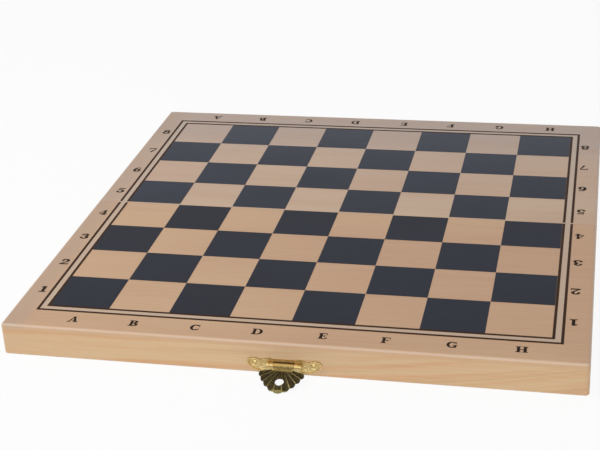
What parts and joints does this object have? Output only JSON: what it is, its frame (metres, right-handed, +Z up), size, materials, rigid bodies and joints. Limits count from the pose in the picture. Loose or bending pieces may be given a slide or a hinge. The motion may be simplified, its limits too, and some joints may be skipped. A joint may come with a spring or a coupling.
{
  "type": "folding chess box",
  "caption": "Two wooden trays hinged along one edge that open flat into a printed chess board and shut into a box held by a brass hasp.",
  "frame": {"origin": "middle of the ground that the opened box covers with its hasp and catch, on the plane of the rims", "axes": "+X along the fold, from file A to file H, +Y from the front tray with the hasp to the far tray, +Z up out of the printed board"},
  "size_m": [0.29, 0.3183, 0.0185],
  "materials": {
    "printed_veneer": "satin",
    "ink": "satin",
    "rail_wood": "satin",
    "bright_brass": "pressed",
    "antique_brass": "darkened"
  },
  "bodies": {
    "near_half": {"near_panel": "printed_veneer", "near_print": "ink", "near_front_rail": "rail_wood", "near_left_rail": "rail_wood", "near_right_rail": "rail_wood", "near_hinge_rail": "rail_wood", "left_hinge_near_leaf": "bright_brass", "left_hinge_pin": "bright_brass", "right_hinge_near_leaf": "bright_brass", "right_hinge_pin": "bright_brass", "near_hinge_screws": "bright_brass", "clasp_plate": "bright_brass", "clasp_nails": "bright_brass", "clasp_pin": "bright_brass"},
    "far_half": {"far_panel": "printed_veneer", "far_print": "ink", "far_outer_rail": "rail_wood", "far_left_rail": "rail_wood", "far_right_rail": "rail_wood", "far_hinge_rail": "rail_wood", "left_hinge_far_leaf": "bright_brass", "right_hinge_far_leaf": "bright_brass", "far_hinge_screws": "bright_brass", "catch_plate": "bright_brass", "catch_stud": "bright_brass", "catch_nails": "bright_brass"},
    "hasp": {"clasp_hasp": "antique_brass"}
  },
  "joints": [
    {"name": "lid_fold", "type": "hinge", "parent": "near_half", "child": "far_half", "pos_m": [0, 0.00723, -0.0001], "axis": [-1, 0, 0], "range_deg": [0, 180]},
    {"name": "hasp_swing", "type": "hinge", "parent": "near_half", "child": "hasp", "pos_m": [0.0005, -0.14287, 0.0056], "axis": [-1, 0, 0], "range_deg": [-71.85, 86.1]}
  ]
}
